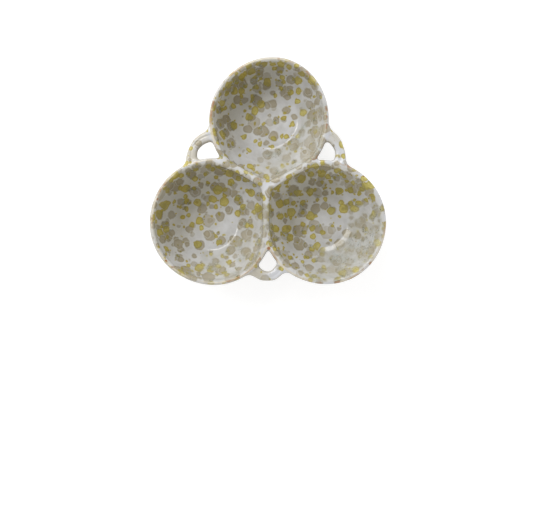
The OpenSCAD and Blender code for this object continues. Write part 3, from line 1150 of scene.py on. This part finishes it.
# %% Taupe blots, then yellow drops, then the milky film of the pools
colour, taupe, taupe_depth = ground, 0.0, -20.0
for name, strength in (("taupe_fine", 0.9), ("taupe_wide", 0.96), ("taupe_middle", 0.94)):
    colour, cover, depth = lay_taupe(colour, name, strength)
    taupe = greater(taupe, cover)
    taupe_depth = greater(taupe_depth, depth)
streaks = grain(95.0, 5.0, 0.7)
film = blend(ramp(streaks, 0.35, 0.65), srgb(146, 141, 119), srgb(182, 183, 180))
yellow, yellow_depth = 0.0, -20.0
for name in ("yellow_wide", "yellow_middle", "yellow_fine"):
    colour, cover, depth = lay_yellow(colour, name, taupe)
    yellow = greater(yellow, cover)
    yellow_depth = greater(yellow_depth, depth)
colour = blend(both(pool, ramp(streaks, 0.3, 0.7, 0.3, 0.8)), colour, film)

# %% Crystals, specks and the rust of the edges
flecks = node(
    kiln, "ShaderNodeTexVoronoi", {"Vector": spot, "Scale": 800.0, "Randomness": 1.0},
    out="Distance",
)
crystal_place = both(ramp(grain(85.0), 0.48, 0.56), band(taupe_depth, -0.2, 0.6, 3.0, 5.0))
crystal_place = both(crystal_place, band(yellow_depth, -1.8, -0.8, 0.9, 2.0))
pool_crystals = both(ramp(pool, 0.35, 0.8), ramp(grain(70.0), 0.54, 0.62))
crystal = greater(crystal_place, both(pool_crystals, 0.6))
crystal = both(crystal, ramp(flecks, 0.55, 0.25))
crystal_colour = blend(ramp(grain(240.0), 0.47, 0.58), srgb(84, 92, 84), srgb(152, 170, 172))
colour = blend(both(crystal, 0.85), colour, crystal_colour)


def dots(scale, small, large, share):
    """Small round specks, one in some of the cells of a Voronoi pattern."""
    cell = kiln.nodes.new("ShaderNodeTexVoronoi")
    wire(kiln, spot, cell.inputs["Vector"])
    cell.inputs["Scale"].default_value = scale
    lot = node(kiln, "ShaderNodeSeparateColor", (cell.outputs["Color"],), out="Red")
    size = node(kiln, "ShaderNodeSeparateColor", (cell.outputs["Color"],), out="Green")
    size = reckon(kiln, "MULTIPLY_ADD", size, large - small, small)
    inside = reckon(kiln, "SUBTRACT", size, cell.outputs["Distance"])
    return both(ramp(inside, -0.02, 0.05), reckon(kiln, "LESS_THAN", lot, share))


specks = both(dots(150.0, 0.05, 0.13, 0.5), ramp(greater(inner, near_rim), 0.3, 0.6))
colour = blend(both(specks, 0.8), colour, srgb(150, 128, 74))
edge = measured("edge")
lip = both(band(below_rim, -3.0, -1.0, 1.8, 3.6), ramp(edge, 4.5, 2.5))
rust = both(dots(110.0, 0.11, 0.23, 0.38), lip)
broken = both(both(ramp(edge, 2.0, 1.0), taupe), ramp(grain(110.0), 0.52, 0.62))
rust = greater(rust, both(broken, 0.8))
worn = both(ramp(edge, 1.7, 0.9), ramp(grain(24.0), 0.38, 0.52))
worn_colour = blend(ramp(grain(60.0), 0.5, 0.64), srgb(206, 198, 178), srgb(178, 154, 120))
colour = blend(both(worn, 0.75), colour, worn_colour)
colour = blend(both(rust, 0.9), colour, srgb(150, 98, 52))

# %% Gloss, relief and the bare foot
shiny = greater(inner, near_rim)
roughness = blend(shiny, (0.3, 0.3, 0.3, 1), (0.06, 0.06, 0.06, 1))
roughness = plus(roughness, off_middle(cloud, 0.04))
roughness = plus(roughness, both(taupe, 0.03))
bare = both(ramp(height, 0.0009, 0.0003), ramp(reckon(kiln, "ABSOLUTE", below_rim), 30.0, 40.0))
clay = blend(ramp(grain(600.0, 4.0, 0.7), 0.35, 0.65), srgb(186, 164, 134), srgb(158, 134, 104))
colour = blend(bare, colour, clay)
roughness = blend(bare, roughness, (0.85, 0.85, 0.85, 1))
relief = both(grain(95.0), 0.00016)
rough_melt = both(grain(220.0, 3.0, 0.6), ramp(pool, 0.0, 0.5, 0.00003, 0.00014))
relief = plus(relief, rough_melt)
raised = ((taupe, -0.00004), (yellow, 0.00006), (both(crystal_place, granules), 0.00008))
for where, metres in raised:
    relief = plus(relief, both(where, metres))
bumped = node(kiln, "ShaderNodeBump", {"Strength": 0.6, "Distance": 1.0, "Height": relief})
surface = node(
    kiln, "ShaderNodeBsdfPrincipled",
    {"Base Color": colour, "Roughness": roughness, "Normal": bumped, "IOR": 1.5},
)
kiln.links.new(surface, kiln.nodes.new("ShaderNodeOutputMaterial").inputs["Surface"])
print("the glaze has", len(kiln.nodes), "nodes")

for name, thing in pieces.items():
    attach(thing, "root")
    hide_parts(name)

# %% [markdown]
# ## Table and light
#
# The photo shows the dish on plain white, lit from the upper left by a wide soft source: in each
# bowl it leaves a thin bright arc where floor turns to wall. Two lamps do that here, a high one for
# the arc and a wide low one. Two long lamps near the table light the outside, and the rims keep
# their light out of the bowls. The table is white by its own colour and by a glow that only the
# camera sees, so no extra light falls on the dish, and the dish still throws its shadow.

# %% Table, sky and lamps
def aimed_lamp(name, at, size, watts):
    lamp = bpy.data.lights.new(name, "AREA")
    lamp.shape, (lamp.size, lamp.size_y), lamp.energy = "RECTANGLE", size, watts
    thing = bpy.data.objects.new(name, lamp)
    bpy.context.scene.collection.objects.link(thing)
    thing.location = at
    thing.rotation_euler = (-mathutils.Vector(at)).to_track_quat("-Z", "Y").to_euler()
    print(name, "shines at", round(watts / (math.pi * size[0] * size[1]), 2), "times white")


aimed_lamp("high_softbox", (-0.5, 0.66, 0.95), (1.5, 0.4), 11.5)
aimed_lamp("low_softbox", (-0.8, 1.3, 0.62), (1.9, 0.6), 7.0)
aimed_lamp("front_strip", (0.15, -1.5, 0.22), (2.6, 0.36), 7.5)
aimed_lamp("side_strip", (1.5, 0.1, 0.22), (2.2, 0.36), 5.0)

SKY_LIGHT, TABLE_GLOW, TABLE_HALF_MM = 0.57, 0.77, 3000
sky = bpy.data.worlds.new("studio")
bpy.context.scene.world = sky
sky.use_nodes = True
air = sky.node_tree
seen = node(air, "ShaderNodeLightPath", out="Is Camera Ray")
strength = node(air, "ShaderNodeMapRange", (seen, 0.0, 1.0, SKY_LIGHT, 1.0))
wire(air, strength, air.nodes["Background"].inputs["Strength"])
air.nodes["Background"].inputs["Color"].default_value = (1, 1, 1, 1)

square = np.array([(-1, -1, 0), (1, -1, 0), (1, 1, 0), (-1, 1, 0)])
table = mesh_object("table", square * TABLE_HALF_MM, [(0, 1, 2, 3)])
paper = bpy.data.materials.new("white_paper")
paper.use_nodes = True
sheet_tree = paper.node_tree
sheet_tree.nodes.clear()
place = node(sheet_tree, "ShaderNodeTexCoord", out="Object")
far = reckon_vector(sheet_tree, "LENGTH", place, out="Value")
seen = node(sheet_tree, "ShaderNodeLightPath", out="Is Camera Ray")
glow = node(sheet_tree, "ShaderNodeMapRange", (far, 0.2, 1.0, TABLE_GLOW, 1.0))
glow = reckon(sheet_tree, "MULTIPLY", glow, seen)
shine = node(sheet_tree, "ShaderNodeEmission", {"Color": (1, 1, 1, 1), "Strength": glow})
matt = node(
    sheet_tree, "ShaderNodeMix", {0: seen, 6: (0.85, 0.85, 0.85, 1), 7: (0.38, 0.38, 0.38, 1)},
    out=2, data_type="RGBA",
)
matt = node(sheet_tree, "ShaderNodeBsdfDiffuse", {"Color": matt})
mixed = node(sheet_tree, "ShaderNodeAddShader", (shine, matt))
sheet_tree.links.new(mixed, sheet_tree.nodes.new("ShaderNodeOutputMaterial").inputs["Surface"])
table.data.materials.append(paper)

# %% [markdown]
# ## The end

# %% Finish
bpy.context.scene.view_settings.view_transform = "Standard"
